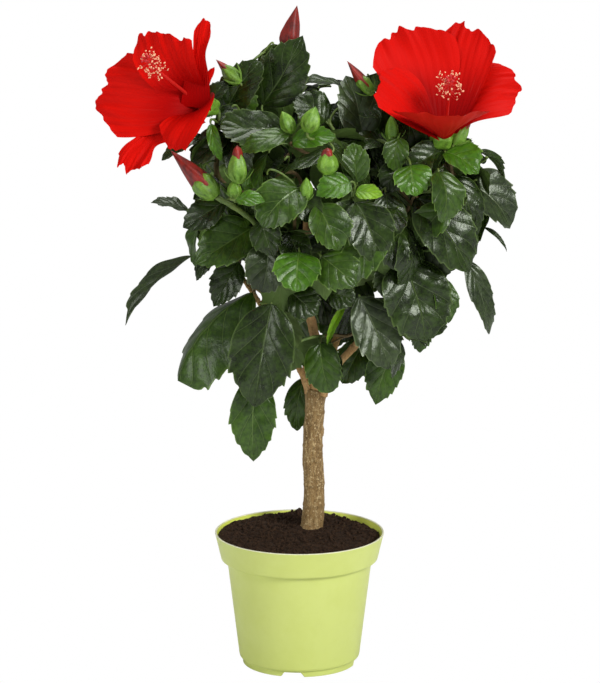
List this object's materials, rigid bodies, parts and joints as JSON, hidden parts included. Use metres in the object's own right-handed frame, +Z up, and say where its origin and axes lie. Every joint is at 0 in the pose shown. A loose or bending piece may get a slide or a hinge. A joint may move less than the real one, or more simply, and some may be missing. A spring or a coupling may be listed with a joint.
{
  "type": "potted hibiscus shrub",
  "caption": "Small standard hibiscus in a lime nursery pot: one straight woody stem, forked boughs, a full dark green crown, buds and large ruffled red blooms.",
  "frame": {"origin": "below the middle of the whole plant's box, on the surface that the pot stands on", "axes": "+Z up along the stem, +X to the plant's right seen from the front, +Y to the back"},
  "size_m": [0.3712, 0.2578, 0.5916],
  "materials": {
    "pot_plastic": "smooth satin lime plastic, thin moulded wall",
    "potting_soil": "dark crumbly potting soil",
    "bark": "tan-brown bark with fine pits and scars",
    "foliage": "glossy dark green leaves with paler veins",
    "bud": "ribbed pale green calyx, red petal tip",
    "bloom": "soft bright red petals with fine radial veins"
  },
  "bodies": {
    "root": {"pot": "pot_plastic", "soil": "potting_soil", "trunk": "bark", "bough_left": "bark", "bough_centre": "bark", "bough_right": "bark", "bough_back_left": "bark", "bough_back_right": "bark", "bloom_left": "bloom", "bloom_right": "bloom", "leaf_far_left": "foliage", "leaf_left_small": "foliage", "leaf_left_hanging": "foliage", "leaf_low_left": "foliage", "leaf_low_front": "foliage", "leaf_behind_trunk": "foliage", "leaf_far_right": "foliage", "leaf_rolled_right": "foliage", "leaf_right_tip": "foliage", "leaf_back_hanging": "foliage", "foliage_front_low": "foliage", "foliage_fork": "foliage", "foliage_low_right": "foliage", "foliage_right_low": "foliage", "foliage_left": "foliage", "foliage_top": "foliage", "foliage_left_top": "foliage", "foliage_right_top": "foliage", "foliage_right": "foliage", "foliage_centre": "foliage", "foliage_middle": "foliage", "foliage_centre_right": "foliage", "foliage_back_left": "foliage", "foliage_back_right": "foliage", "foliage_back_top": "foliage", "foliage_back_low": "foliage", "bud_top": "bud", "bud_left": "bud", "bud_upper_left": "bud", "bud_upper_right": "bud"}
  },
  "joints": []
}
